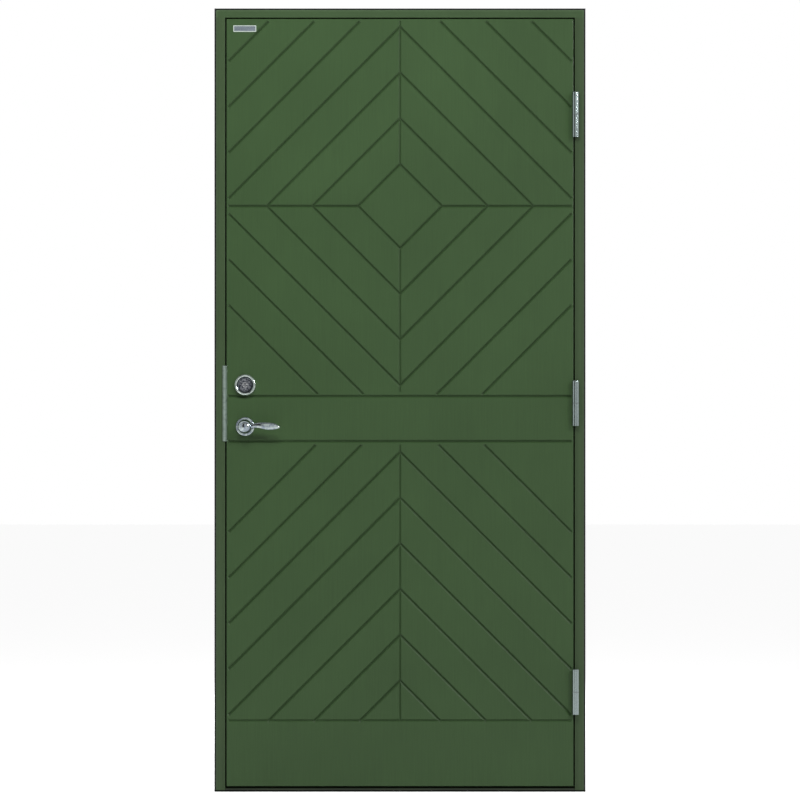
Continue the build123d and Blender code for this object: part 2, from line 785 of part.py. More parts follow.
# Cover strip: a leg let into the leaf's edge and a lip over the gap and the jamb
with BuildPart() as gap_guard:
    lip_x = (-rebate_x - guard_reach, -leaf_x + guard_thickness)
    block((-leaf_x, -leaf_x + guard_thickness), guard_y, guard_z)
    block(lip_x, (guard_y[0], guard_y[0] + guard_thickness), guard_z)
    fillet(gap_guard.edges().filter_by(Axis.Y).group_by(Axis.X)[0], radius=guard_corner)
    fillet(gap_guard.faces().sort_by(Axis.Y)[0].edges(), radius=guard_round)
    put(screw_hole(plate_screw), guard_screw_places, mode=Mode.SUBTRACT)
gap_guard.part.label = "gap_guard"
export_step(gap_guard.part, "parts/gap_guard.step")

with BuildPart() as guard_screws:
    put(screw(plate_screw), guard_screw_places)
guard_screws.part.label = "guard_screws"
export_step(guard_screws.part, "parts/guard_screws.step")

# Lock case, open towards the forend that covers it
with BuildPart() as lock_case:
    block((case_front_x, case_front_x + case_depth), (case_near, case_far), case_z)
    block(
        (case_front_x, case_front_x + case_depth - case_wall),
        (case_near + case_wall, case_far - case_wall),
        (case_z[0] + case_wall, case_z[1] - case_wall),
        mode=Mode.SUBTRACT,
    )
    follower_hole = follower_radius + running_gap
    rod(follower_hole, (lock_x, case_near, handle_height), (lock_x, case_far, handle_height), Mode.SUBTRACT)
    stem_hole = stem_radius + running_gap
    rod(stem_hole, (lock_x, leaf_middle, cylinder_height), (lock_x, case_far, cylinder_height), Mode.SUBTRACT)
    rod(cam_hub_radius, (lock_x, case_near, cylinder_height), (lock_x, leaf_middle, cylinder_height), Mode.SUBTRACT)
    for x, z in rose_screw_points + cylinder_screw_points:
        rod(screw_bore, (x, case_near, z), (x, case_far, z), Mode.SUBTRACT)
lock_case.part.label = "lock_case"
export_step(lock_case.part, "parts/lock_case.step")

with BuildPart() as lock_forend:
    with BuildSketch(edge_plane(lock_centre)):
        SlotOverall(forend_height, forend_width)
        for height, size in ((latch_height, latch_size), (dead_bolt_height, dead_bolt_size)):
            with Locations((height - lock_centre, 0)):
                Rectangle(size + 2 * guide_gap, latch_thickness + 2 * guide_gap, mode=Mode.SUBTRACT)
    extrude(amount=forend_thickness)
    put(screw_hole(plate_screw), forend_screw_places, mode=Mode.SUBTRACT)
lock_forend.part.label = "lock_forend"
export_step(lock_forend.part, "parts/lock_forend.step")

with BuildPart() as forend_screws:
    put(screw(plate_screw), forend_screw_places)
forend_screws.part.label = "forend_screws"
export_step(forend_screws.part, "parts/forend_screws.step")

# Latch bolt: bevelled head, tail plate and the catch that the follower's arm pushes back
bolt_y = (leaf_middle - latch_thickness / 2, leaf_middle + latch_thickness / 2)
tail_y = (leaf_middle - tail_thickness / 2, leaf_middle + tail_thickness / 2)
cam_y = (leaf_middle - cam_thickness / 2, leaf_middle + cam_thickness / 2)
arm_reach = latch_travel / radians(handle_turn)
with BuildPart() as latch_bolt:
    latch_tip = -leaf_x - latch_throw
    latch_back = latch_tip + latch_head_length
    latch_z = (latch_height - latch_size / 2, latch_height + latch_size / 2)
    block((latch_tip, latch_back), bolt_y, latch_z)
    with BuildSketch(Plane.XY.offset(latch_z[0])):
        with BuildLine():
            Polyline(
                (latch_tip, bolt_y[1]),
                (latch_tip, bolt_y[0] + latch_nose),
                (latch_tip + latch_throw - latch_nose, bolt_y[1]),
                close=True,
            )
        make_face()
    extrude(amount=latch_size, mode=Mode.SUBTRACT)
    catch_x = lock_x + follower_arm_width / 2 + catch_gap
    tail_low = handle_height + arm_reach + tail_clearance
    block((latch_back, catch_x + tail_thickness), tail_y, (tail_low, tail_low + tail_height))
    catch_low = handle_height + follower_radius + tail_clearance
    block((catch_x, catch_x + tail_thickness), tail_y, (catch_low, tail_low))
latch_bolt.part.label = "latch_bolt"
export_step(latch_bolt.part, "parts/latch_bolt.step")

# Follower on the handle's spindle, borne in the walls of the case
with BuildPart() as latch_follower:
    rod(follower_radius, (lock_x, case_near, handle_height), (lock_x, case_far, handle_height))
    half_arm = follower_arm_width / 2
    block((lock_x - half_arm, lock_x + half_arm), cam_y, (handle_height, handle_height + arm_reach))
    square = spindle_side / 2 + fit_gap
    block(
        (lock_x - square, lock_x + square),
        (case_near, case_far),
        (handle_height - square, handle_height + square),
        mode=Mode.SUBTRACT,
    )
latch_follower.part.label = "latch_follower"
export_step(latch_follower.part, "parts/latch_follower.step")

# Dead bolt, drawn back, with a fork on its tail for the cam
cam_reach = dead_bolt_travel / 2 / sin(radians(cam_turn / 2))
cam_tip_x = lock_x + dead_bolt_travel / 2
cam_tip_z = cylinder_height - dead_bolt_travel / 2 / tan(radians(cam_turn / 2))
with BuildPart() as dead_bolt:
    dead_z = (dead_bolt_height - dead_bolt_size / 2, dead_bolt_height + dead_bolt_size / 2)
    block((-leaf_x, -leaf_x + dead_bolt_length), bolt_y, dead_z)
    chamfer(dead_bolt.faces().sort_by(Axis.X)[0].edges(), length=bolt_arris)
    slot = cam_tip_radius + cam_slack
    fork_low = cylinder_height - cam_reach - cam_tip_radius - tail_clearance
    fork_end = cam_tip_x + slot + tail_thickness
    block((-leaf_x + dead_bolt_length, fork_end), tail_y, (dead_bolt_height, fork_low))
    for side in (-1, 1):
        post = sorted((cam_tip_x + side * slot, cam_tip_x + side * (slot + tail_thickness)))
        block(post, tail_y, (fork_low, cam_tip_z - fork_relief))
dead_bolt.part.label = "dead_bolt"
export_step(dead_bolt.part, "parts/dead_bolt.step")

# Cam that throws the dead bolt, at rest with its arm in the drawn-back fork
with BuildPart() as bolt_cam:
    rod(cam_hub_radius, (lock_x, cam_y[0], cylinder_height), (lock_x, cam_y[1], cylinder_height))
    rod(cam_tip_radius, (cam_tip_x, tail_y[0], cam_tip_z), (cam_tip_x, tail_y[1], cam_tip_z))
    arm_plane = Plane(
        origin=(lock_x, tail_y[0], cylinder_height),
        x_dir=(cam_tip_x - lock_x, 0, cam_tip_z - cylinder_height),
        z_dir=(0, 1, 0),
    )
    with BuildSketch(arm_plane):
        with Locations((cam_reach / 2, 0)):
            Rectangle(cam_reach, cam_arm_width)
    extrude(amount=tail_thickness)
    square = stem_square / 2 + fit_gap
    block(
        (lock_x - square, lock_x + square),
        cam_y,
        (cylinder_height - square, cylinder_height + square),
        mode=Mode.SUBTRACT,
    )
bolt_cam.part.label = "bolt_cam"
export_step(bolt_cam.part, "parts/bolt_cam.step")

# Cylinder in the leaf, with a thread for each of its two screws
core_face = ring_height - cup_depth  # off the leaf
cylinder_back = case_near - pocket_gap
plug_bore = plug_radius + running_gap
with BuildPart() as outside_cylinder:
    depth = cylinder_back - leaf_front
    turn_on_door(
        lock_x,
        cylinder_height,
        -1,
        (
            (plug_bore, -depth),
            (core_radius, -depth),
            (core_radius, core_face - core_arris),
            (core_radius - core_arris, core_face),
            (plug_bore, core_face),
        ),
    )
    for x, z in cylinder_screw_points:
        rod(thread_bore, (x, cylinder_back - cylinder_grip, z), (x, cylinder_back, z), Mode.SUBTRACT)
outside_cylinder.part.label = "outside_cylinder"
export_step(outside_cylinder.part, "parts/outside_cylinder.step")

# Plug with the keyway in front and a flat tail towards the lock case
with BuildPart() as cylinder_plug:
    plug_front = leaf_front - core_face - plug_proud
    rod(plug_radius, (lock_x, plug_front, cylinder_height), (lock_x, cylinder_back, cylinder_height))
    block(
        (lock_x - keyway_width / 2, lock_x + keyway_width / 2),
        (plug_front, plug_front + keyway_depth),
        (cylinder_height - keyway_height / 2, cylinder_height + keyway_height / 2),
        mode=Mode.SUBTRACT,
    )
    tail_width, tail_rise = plug_tail
    block(
        (lock_x - tail_width / 2, lock_x + tail_width / 2),
        (cylinder_back, cam_y[0] - pocket_gap),
        (cylinder_height - tail_rise / 2, cylinder_height + tail_rise / 2),
    )
cylinder_plug.part.label = "cylinder_plug"
export_step(cylinder_plug.part, "parts/cylinder_plug.step")

# Tapered ring round the cylinder, hollowed in front
with BuildPart() as cylinder_ring:
    bore = core_radius + fit_gap
    turn_on_door(
        lock_x,
        cylinder_height,
        -1,
        (
            (bore, 0),
            (ring_radius, 0),
            (ring_radius, ring_foot),
            (ring_lip_radius, ring_height),
            (cup_radius, ring_height),
            (bore + cup_ledge, core_face),
            (bore, core_face),
        ),
    )
    fillet(cylinder_ring.edges().filter_by(GeomType.CIRCLE).group_by(Axis.Y)[0], radius=ring_round)
cylinder_ring.part.label = "cylinder_ring"
export_step(cylinder_ring.part, "parts/cylinder_ring.step")

# Thumb turn on the inner face, upright while the bolt is drawn back
rose_face = leaf_back + rose_height
turn_screw_length = rose_face - cylinder_back + cylinder_grip - thread_end
turn_screw = (machine_screw_radius, machine_screw_head, turn_screw_length)
turn_screw_places = [facing((x, rose_face, z), (0, 1, 0)) for x, z in cylinder_screw_points]
with BuildPart() as inside_turn_rose:
    add(rose(cylinder_height, 1, turn_rose_radius, stem_radius + running_gap))
    put(screw_hole(turn_screw), turn_screw_places, mode=Mode.SUBTRACT)
inside_turn_rose.part.label = "inside_turn_rose"
export_step(inside_turn_rose.part, "parts/inside_turn_rose.step")

with BuildPart() as cylinder_screws:
    put(screw(turn_screw), turn_screw_places)
cylinder_screws.part.label = "cylinder_screws"
export_step(cylinder_screws.part, "parts/cylinder_screws.step")

with BuildPart() as thumb_turn:
    knob_base = rose_face + pocket_gap
    rod(
        turn_base_radius,
        (lock_x, knob_base, cylinder_height),
        (lock_x, knob_base + turn_base_height, cylinder_height),
    )
    knob_plane = Plane(
        origin=(lock_x, knob_base + turn_base_height / 2, cylinder_height), x_dir=(0, 0, 1), z_dir=(0, 1, 0)
    )
    with BuildSketch(knob_plane):
        SlotOverall(turn_knob_length, turn_knob_width)
    extrude(amount=turn_knob_height, taper=turn_knob_taper)
    fillet(thumb_turn.faces().sort_by(Axis.Y)[-1].edges(), radius=turn_knob_round)
    rod(stem_radius, (lock_x, cam_y[1], cylinder_height), (lock_x, knob_base, cylinder_height))
    half_square = stem_square / 2
    block(
        (lock_x - half_square, lock_x + half_square),
        cam_y,
        (cylinder_height - half_square, cylinder_height + half_square),
    )
thumb_turn.part.label = "thumb_turn"
export_step(thumb_turn.part, "parts/thumb_turn.step")

# Roses of the handle, screwed to each other through the leaf
rose_screw_length = rose_face - leaf_front + rose_grip - thread_end
rose_screw = (machine_screw_radius, machine_screw_head, rose_screw_length)
rose_screw_places = [facing((x, rose_face, z), (0, 1, 0)) for x, z in rose_screw_points]
with BuildPart() as outside_rose:
    add(rose(handle_height, -1, rose_radius, neck_radius + running_gap))
    for x, z in rose_screw_points:
        rod(thread_bore, (x, leaf_front - rose_grip, z), (x, leaf_front, z), Mode.SUBTRACT)
outside_rose.part.label = "outside_rose"
export_step(outside_rose.part, "parts/outside_rose.step")

with BuildPart() as inside_rose:
    add(rose(handle_height, 1, rose_radius, neck_radius + running_gap))
    put(screw_hole(rose_screw), rose_screw_places, mode=Mode.SUBTRACT)
inside_rose.part.label = "inside_rose"
export_step(inside_rose.part, "parts/inside_rose.step")

with BuildPart() as rose_screws:
    put(screw(rose_screw), rose_screw_places)
rose_screws.part.label = "rose_screws"
export_step(rose_screws.part, "parts/rose_screws.step")

# Leaf-shaped grip of the lever handle, pointing to the hinges
with BuildPart() as lever_grip:
    for reach, middle, half_height, off, half_thickness in lever_sections:
        section_plane = Plane(
            origin=(lock_x + reach, leaf_front - off, handle_height + middle), x_dir=(0, 0, 1), z_dir=(1, 0, 0)
        )
        with BuildSketch(section_plane):
            Ellipse(half_height, half_thickness)
    loft()

# Lever handle: neck and round hub turned in one, with the grip
with BuildPart() as outside_lever:
    neck_end = hub_height - sqrt(hub_radius**2 - neck_radius**2)
    hub_end = hub_height + hub_radius
    with BuildSketch(door_plane(lock_x, handle_height, -1)):
        with BuildLine():
            Polyline((0, hub_end), (0, neck_clearance), (neck_radius, neck_clearance), (neck_radius, neck_end))
            ThreePointArc((neck_radius, neck_end), (hub_radius, hub_height), (0, hub_end))
        make_face()
    revolve(axis=Axis((lock_x, 0, handle_height), (0, 1, 0)))
    add(lever_grip.part)
    square = spindle_side / 2 + fit_gap
    block(
        (lock_x - square, lock_x + square),
        (leaf_front - spindle_reach - pocket_gap, leaf_front),
        (handle_height - square, handle_height + square),
        mode=Mode.SUBTRACT,
    )
    grub_y = leaf_front - grub_reach
    grub_bore = grub_radius + running_gap
    rod(grub_bore, (lock_x, grub_y, handle_height - hub_radius), (lock_x, grub_y, handle_height), Mode.SUBTRACT)
outside_lever.part.label = "outside_lever"
export_step(outside_lever.part, "parts/outside_lever.step")

with BuildPart() as inside_lever:
    mirror(outside_lever.part, about=Plane.XZ.offset(-leaf_middle))
inside_lever.part.label = "inside_lever"
export_step(inside_lever.part, "parts/inside_lever.step")

with BuildPart() as handle_spindle:
    half_side = spindle_side / 2
    block(
        (lock_x - half_side, lock_x + half_side),
        (leaf_front - spindle_reach, leaf_back + spindle_reach),
        (handle_height - half_side, handle_height + half_side),
    )
handle_spindle.part.label = "handle_spindle"
export_step(handle_spindle.part, "parts/handle_spindle.step")

with BuildPart() as lever_grub_screws:
    grub_end = handle_height - spindle_side / 2
    for y in (leaf_front - grub_reach, leaf_back + grub_reach):
        rod(grub_radius, (lock_x, y, grub_end - grub_length), (lock_x, y, grub_end))
lever_grub_screws.part.label = "lever_grub_screws"
export_step(lever_grub_screws.part, "parts/lever_grub_screws.step")

# Lift-off hinges: the leaf's knuckle stands over the frame's knuckle, on its pin
pin_bore = hinge_pin_radius + running_gap
leaf_plate_x = (leaf_x - hinge_plate_thickness, leaf_x)
frame_plate_x = (rebate_x, rebate_x + hinge_plate_thickness)
plate_y = (leaf_front, leaf_front + hinge_plate_depth)


def hinge_leaf_half(centre):
    """Plate in the leaf's edge with the upper knuckle, closed by a cap."""
    low, high = centre - hinge_height / 2, centre + hinge_height / 2
    foot = centre + washer_thickness / 2
    cap = high - cap_height
    with BuildPart() as made:
        rod(knuckle_radius, (axis_x, axis_y, foot), (axis_x, axis_y, high))
        fillet(made.edges().sort_by(Axis.Z)[-1], radius=knuckle_round)
        with BuildSketch(Plane((axis_x, axis_y, cap))) as ring:
            Circle(knuckle_radius + cap_line)
            Circle(knuckle_radius - cap_line, mode=Mode.SUBTRACT)
        extrude(ring.sketch, amount=cap_line, mode=Mode.SUBTRACT)
        block(leaf_plate_x, (axis_y, leaf_front), (foot, cap))
        block(leaf_plate_x, plate_y, (low, high))
        rod(pin_bore, (axis_x, axis_y, foot), (axis_x, axis_y, cap), Mode.SUBTRACT)
        put(screw_hole(plate_screw), hinge_screw_row(leaf_x, centre, 1), mode=Mode.SUBTRACT)
    return made


def hinge_frame_half(centre):
    """Plate in the jamb with the lower knuckle."""
    low, high = centre - hinge_height / 2, centre + hinge_height / 2
    top = centre - washer_thickness / 2
    with BuildPart() as made:
        rod(knuckle_radius, (axis_x, axis_y, low), (axis_x, axis_y, top))
        block(frame_plate_x, (axis_y, frame_front), (low, top))
        block(frame_plate_x, plate_y, (low, high))
        rod(pin_bore, (axis_x, axis_y, low), (axis_x, axis_y, top), Mode.SUBTRACT)
        put(screw_hole(plate_screw), hinge_screw_row(rebate_x, centre, -1), mode=Mode.SUBTRACT)
    return made


def hinge_pin(centre):
    """Pin that stands in the frame's knuckle and carries the leaf's."""
    with BuildPart() as made:
        end = centre + hinge_height / 2 - cap_height - pocket_gap
        rod(hinge_pin_radius, (axis_x, axis_y, centre - hinge_height / 2), (axis_x, axis_y, end))
    return made


hinge_leaf_half_top = hinge_leaf_half(top_hinge_height)
hinge_leaf_half_top.part.label = "hinge_leaf_half_top"
export_step(hinge_leaf_half_top.part, "parts/hinge_leaf_half_top.step")

hinge_leaf_half_middle = hinge_leaf_half(middle_hinge_height)
hinge_leaf_half_middle.part.label = "hinge_leaf_half_middle"
export_step(hinge_leaf_half_middle.part, "parts/hinge_leaf_half_middle.step")

hinge_leaf_half_bottom = hinge_leaf_half(bottom_hinge_height)
hinge_leaf_half_bottom.part.label = "hinge_leaf_half_bottom"
export_step(hinge_leaf_half_bottom.part, "parts/hinge_leaf_half_bottom.step")

hinge_frame_half_top = hinge_frame_half(top_hinge_height)
hinge_frame_half_top.part.label = "hinge_frame_half_top"
export_step(hinge_frame_half_top.part, "parts/hinge_frame_half_top.step")

hinge_frame_half_middle = hinge_frame_half(middle_hinge_height)
hinge_frame_half_middle.part.label = "hinge_frame_half_middle"
export_step(hinge_frame_half_middle.part, "parts/hinge_frame_half_middle.step")

hinge_frame_half_bottom = hinge_frame_half(bottom_hinge_height)
hinge_frame_half_bottom.part.label = "hinge_frame_half_bottom"
export_step(hinge_frame_half_bottom.part, "parts/hinge_frame_half_bottom.step")

hinge_pin_top = hinge_pin(top_hinge_height)
hinge_pin_top.part.label = "hinge_pin_top"
export_step(hinge_pin_top.part, "parts/hinge_pin_top.step")

hinge_pin_middle = hinge_pin(middle_hinge_height)
hinge_pin_middle.part.label = "hinge_pin_middle"
export_step(hinge_pin_middle.part, "parts/hinge_pin_middle.step")

hinge_pin_bottom = hinge_pin(bottom_hinge_height)
hinge_pin_bottom.part.label = "hinge_pin_bottom"
export_step(hinge_pin_bottom.part, "parts/hinge_pin_bottom.step")

with BuildPart() as hinge_washers:
    for centre in hinge_heights:
        with BuildSketch(Plane((axis_x, axis_y, centre - washer_thickness / 2))):
            Circle(knuckle_radius)
            Circle(hinge_pin_radius + fit_gap, mode=Mode.SUBTRACT)
    extrude(amount=washer_thickness)
hinge_washers.part.label = "hinge_washers"
export_step(hinge_washers.part, "parts/hinge_washers.step")

with BuildPart() as hinge_leaf_screws:
    for centre in hinge_heights:
        put(screw(plate_screw), hinge_screw_row(leaf_x, centre, 1))
hinge_leaf_screws.part.label = "hinge_leaf_screws"
export_step(hinge_leaf_screws.part, "parts/hinge_leaf_screws.step")

with BuildPart() as hinge_frame_screws:
    for centre in hinge_heights:
        put(screw(plate_screw), hinge_screw_row(rebate_x, centre, -1))
hinge_frame_screws.part.label = "hinge_frame_screws"
export_step(hinge_frame_screws.part, "parts/hinge_frame_screws.step")

# Bare plate at the leaf's upper corner, with a raised rim
with BuildPart() as name_plate:
    plate_plane = Plane(
        origin=(-leaf_x + name_plate_inset, leaf_front, leaf_top - name_plate_drop),
        x_dir=(1, 0, 0),
        z_dir=(0, -1, 0),
    )
    with BuildSketch(plate_plane):
        RectangleRounded(name_plate_width, name_plate_height, name_plate_corner)
    extrude(amount=name_plate_thickness)
    with BuildSketch(plate_plane.offset(name_plate_thickness)):
        Rectangle(name_plate_width - 2 * name_plate_rim, name_plate_height - 2 * name_plate_rim)
    extrude(amount=-name_plate_relief, mode=Mode.SUBTRACT)
name_plate.part.label = "name_plate"
export_step(name_plate.part, "parts/name_plate.step")
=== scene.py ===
# Looks of the panelled entrance door: paint, metals, light, floor and camera around the CAD model.
# Everything is in metres, in the model's own frame: X to the right, Y into the house and Z up.
import json
import math

import bpy
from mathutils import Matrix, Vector

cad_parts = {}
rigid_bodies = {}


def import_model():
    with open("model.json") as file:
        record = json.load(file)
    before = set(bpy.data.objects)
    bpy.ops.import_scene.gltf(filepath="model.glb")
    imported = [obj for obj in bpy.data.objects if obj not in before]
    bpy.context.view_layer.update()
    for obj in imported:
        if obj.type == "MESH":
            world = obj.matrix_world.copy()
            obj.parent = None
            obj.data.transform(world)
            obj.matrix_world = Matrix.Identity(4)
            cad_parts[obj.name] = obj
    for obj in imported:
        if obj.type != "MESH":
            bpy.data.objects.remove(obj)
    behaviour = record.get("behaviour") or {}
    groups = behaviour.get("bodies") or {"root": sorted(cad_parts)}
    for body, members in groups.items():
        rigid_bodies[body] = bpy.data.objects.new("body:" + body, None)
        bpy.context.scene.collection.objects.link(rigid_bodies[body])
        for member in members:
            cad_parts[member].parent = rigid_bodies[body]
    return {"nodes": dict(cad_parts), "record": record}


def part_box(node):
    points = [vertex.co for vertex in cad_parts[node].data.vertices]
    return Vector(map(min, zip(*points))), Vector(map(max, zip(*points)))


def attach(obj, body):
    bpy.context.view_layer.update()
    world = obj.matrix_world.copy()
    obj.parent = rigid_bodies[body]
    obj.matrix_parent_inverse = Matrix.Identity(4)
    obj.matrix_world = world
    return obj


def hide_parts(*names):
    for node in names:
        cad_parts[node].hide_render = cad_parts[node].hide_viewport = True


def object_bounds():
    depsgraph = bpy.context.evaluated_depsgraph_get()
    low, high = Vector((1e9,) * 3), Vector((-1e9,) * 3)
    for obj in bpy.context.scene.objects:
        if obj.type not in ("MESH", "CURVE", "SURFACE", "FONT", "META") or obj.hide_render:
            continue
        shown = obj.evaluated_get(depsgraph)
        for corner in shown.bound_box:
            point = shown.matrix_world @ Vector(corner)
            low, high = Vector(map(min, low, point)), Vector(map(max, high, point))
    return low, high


for old in list(bpy.data.objects):
    bpy.data.objects.remove(old)

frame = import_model()
nodes = frame["nodes"]
cad_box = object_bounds()
scene = bpy.context.scene


# Places on the part that the looks refer to

frame_side, _, frame_top = cad_box[1]
skin_low, skin_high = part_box("outer_skin")
guard_low, guard_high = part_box("gap_guard")
plate_low, plate_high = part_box("name_plate")
ring_low, ring_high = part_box("cylinder_ring")
ring_x, ring_z = (ring_low.x + ring_high.x) / 2, (ring_low.z + ring_high.z) / 2


# Colours, as linear red, green and blue. Noise gathers round 0.5, so its tones change over a span there.

WHITE = (1, 1, 1)
SHORT_SPAN = (0.3, 0.7)
MIDDLE_SPAN = (0.25, 0.75)
LONG_SPAN = (0.2, 0.8)
CLOUD_SPAN = (0.4, 0.6)


def shade(colour, factor):
    return tuple(c * factor for c in colour)


def grey(value):
    return (value, value, value)


def along(axes, stretch):
    """Scale of a noise whose lines run along the given axes. A smaller stretch makes them longer."""
    return tuple(stretch if axis in axes else 1 for axis in "XYZ")


# Node trees. A method that adds a node for a value or a colour gives back that node's output.


class Tree:
    """The node tree of a material or world, with short ways to add and join nodes."""

    def __init__(self, owner):
        owner.use_nodes = True
        self.tree = owner.node_tree
        self.tree.nodes.clear()

    def node(self, kind, **settings):
        made = self.tree.nodes.new(kind)
        for key, value in settings.items():
            setattr(made, key, value)
        return made

    def join(self, source, node, into):
        self.tree.links.new(source, node.inputs[into])

    def levels(self, source, span, values):
        """Carry a span of the source over to other values, which hold beyond its ends."""
        made = self.node("ShaderNodeMapRange")
        for name, value in zip(("From Min", "From Max", "To Min", "To Max"), (*span, *values)):
            made.inputs[name].default_value = value
        self.join(source, made, "Value")
        return made.outputs["Result"]

    def calculate(self, operation, first, second=0.0):
        """Work on an output, with a second output or a plain number."""
        made = self.node("ShaderNodeMath", operation=operation)
        self.join(first, made, 0)
        if isinstance(second, bpy.types.NodeSocket):
            self.join(second, made, 1)
        else:
            made.inputs[1].default_value = second
        return made.outputs["Value"]

    def seen_or_mirrored(self):
        """1 where the camera, a mirror or glass sees the surface, 0 where it only gives light."""
        rays = self.node("ShaderNodeLightPath").outputs
        mirrored = self.calculate("MAXIMUM", rays["Is Glossy Ray"], rays["Is Transmission Ray"])
        return self.calculate("MAXIMUM", rays["Is Camera Ray"], mirrored)


class Shader(Tree):
    """A material with one principled surface."""

    def __init__(self, name):
        self.material = bpy.data.materials.new(name)
        super().__init__(self.material)
        self.bsdf = self.node("ShaderNodeBsdfPrincipled")
        output = self.node("ShaderNodeOutputMaterial")
        self.join(self.bsdf.outputs["BSDF"], output, "Surface")

    def set(self, **values):
        for key, value in values.items():
            self.bsdf.inputs[key.replace("_", " ")].default_value = value

    def colour(self, source):
        self.join(source, self.bsdf, "Base Color")

    def gloss(self, source, span, values):
        self.join(self.levels(source, span, values), self.bsdf, "Roughness")

    def relief(self, source):
        self.join(source, self.bsdf, "Normal")

    def here(self):
        """Object coordinates. The CAD pieces sit at the origin, so these are metres on the part."""
        return self.node("ShaderNodeTexCoord").outputs["Object"]

    def place(self, stretch):
        made = self.node("ShaderNodeMapping")
        made.inputs["Scale"].default_value = stretch
        self.join(self.here(), made, "Vector")
        return made.outputs["Vector"]

    def axis(self, name):
        made = self.node("ShaderNodeSeparateXYZ")
        self.join(self.here(), made, "Vector")
        return made.outputs[name]

    def distance(self, axis, centre=0.0):
        """How far off a centre the place is, along one axis."""
        return self.calculate("ABSOLUTE", self.calculate("SUBTRACT", self.axis(axis), centre))

    def noise(self, size, stretch=(1, 1, 1), detail=2.0, roughness=0.5):
        """Noise with features about size metres across."""
        made = self.node("ShaderNodeTexNoise")
        made.inputs["Scale"].default_value = 1 / size
        made.inputs["Detail"].default_value = detail
        made.inputs["Roughness"].default_value = roughness
        self.join(self.place(stretch), made, "Vector")
        return made.outputs["Fac"]

    def ramp(self, source, stops):
        """Colours along the source's values, from stops of a value and a colour."""
        made = self.node("ShaderNodeValToRGB")
        row = made.color_ramp.elements
        while len(row) < len(stops):
            row.new(0.5)
        for element, (at, colour) in zip(row, stops):
            element.position = at
            element.color = (*colour, 1)
        self.join(source, made, "Fac")
        return made.outputs["Color"]

    def tones(self, source, span, factors, colour=WHITE):
        """A colour that gets darker or lighter with the source."""
        return self.ramp(source, [(at, shade(colour, factor)) for at, factor in zip(span, factors)])

    def mix(self, a, b, factor=None, blend="MIX"):
        """Mix two colours by a factor, or fully where none is given."""
        made = self.node("ShaderNodeMix", data_type="RGBA", blend_type=blend)
        made.inputs["Factor"].default_value = 1.0
        for name, source in (("A", a), ("B", b)):
            socket = [s for s in made.inputs if s.name == name and s.type == "RGBA"][0]
            self.tree.links.new(source, socket)
        if factor is not None:
            self.join(factor, made, "Factor")
        return [s for s in made.outputs if s.type == "RGBA"][0]

    def multiply(self, a, b):
        return self.mix(a, b, blend="MULTIPLY")

    def bump(self, height, strength, depth, under=None):
        """Relief as deep as depth in metres, laid over another relief where one is given."""
        made = self.node("ShaderNodeBump")
        made.inputs["Strength"].default_value = strength
        made.inputs["Distance"].default_value = depth
        self.join(height, made, "Height")
        if under is not None:
            self.join(under, made, "Normal")
        return made.outputs["Normal"]


# Paint

GREEN = (0.0330, 0.0665, 0.0238)
FRAME_GREEN = (0.0330, 0.0572, 0.0242)
HEAD_GREEN = (0.0353, 0.0655, 0.0263)


def paint(name, colour, grain="Z", contrast=0.03, edges=None):
    """Opaque satin paint: an uneven tone, brush and fibre lines along the grain, a rolled texture."""
    s = Shader(name)
    s.set(Specular_IOR_Level=0.22)
    fibre = s.noise(size=0.0035, stretch=along(grain, 0.03), detail=4.0, roughness=0.6)
    streak = s.noise(size=0.006, stretch=along(grain, 0.002), detail=1.0)
    cloud = s.tones(s.noise(size=0.22, detail=3.0), SHORT_SPAN, (0.94, 1.06), colour)
    fibres = s.tones(fibre, MIDDLE_SPAN, (0.9, 1.08))
    streaks = s.tones(streak, SHORT_SPAN, (1 - contrast, 1 + contrast))
    mixed = s.multiply(s.multiply(cloud, fibres), streaks)
    if edges:
        mixed = edges(s, mixed)
    s.colour(mixed)
    rolled = s.bump(s.noise(size=0.0016), strength=0.12, depth=0.0002)
    s.relief(s.bump(fibre, strength=0.10, depth=0.0004, under=rolled))
    s.gloss(s.noise(size=0.05, detail=3.0), SHORT_SPAN, (0.38, 0.48))
    return s.material


# Painted shade in the grooves: the depths where it starts and is full, where it stops short of the
# leaf's edges, and its tone.
SHADE_DEPTHS = (0.0013, 0.0037)
UNSHADED_EDGE = (0.0030, 0.0025)
GROOVE_PAINTED_SHADE = 0.68


def groove_shade(s, mixed):
    """Painted shade darkens the bottom of the milled grooves, standing in for the shade in these
    recesses. The leaf's edges stay unshaded.
    """
    depths = [skin_low.y + depth for depth in SHADE_DEPTHS]
    sides = [skin_high.x - edge for edge in UNSHADED_EDGE]
    deep = s.levels(s.axis("Y"), depths, (0, 1))
    inside = s.levels(s.distance("X"), sides, (1, 0))
    both = s.calculate("MULTIPLY", deep, inside)
    return s.multiply(mixed, s.ramp(both, [(0.0, WHITE), (1.0, grey(GROOVE_PAINTED_SHADE))]))


# These multiply the paint. The border's places are shares of its width, from the inside out.

# A lighter line of painted highlight where the arris catches light, then painted shade on the outer
# arris, then grey primer on the sides.
ARRIS_PAINTED_HIGHLIGHT = (1.55, 1.42, 1.65)
ARRIS_PAINTED_SHADE = (0.09, 0.07, 0.13)
GREY_PRIMER = (3.6, 2.1, 4.6)
BORDER_WIDTH = 0.010
BORDER = [
    (0.22, WHITE),
    (0.27, ARRIS_PAINTED_HIGHLIGHT),
    (0.52, ARRIS_PAINTED_HIGHLIGHT),
    (0.57, ARRIS_PAINTED_SHADE),
    (0.955, ARRIS_PAINTED_SHADE),
    (0.975, GREY_PRIMER),
]


def frame_edges(s, mixed):
    """The frame's border: a painted highlight line, painted shade at the outer arris, and grey primer on
    the sides.
    """
    for place, edge in ((s.distance("X"), frame_side), (s.axis("Z"), frame_top)):
        outwards = s.levels(place, (edge - BORDER_WIDTH, edge), (0, 1))
        mixed = s.multiply(mixed, s.ramp(outwards, BORDER))
    return mixed


# Metals


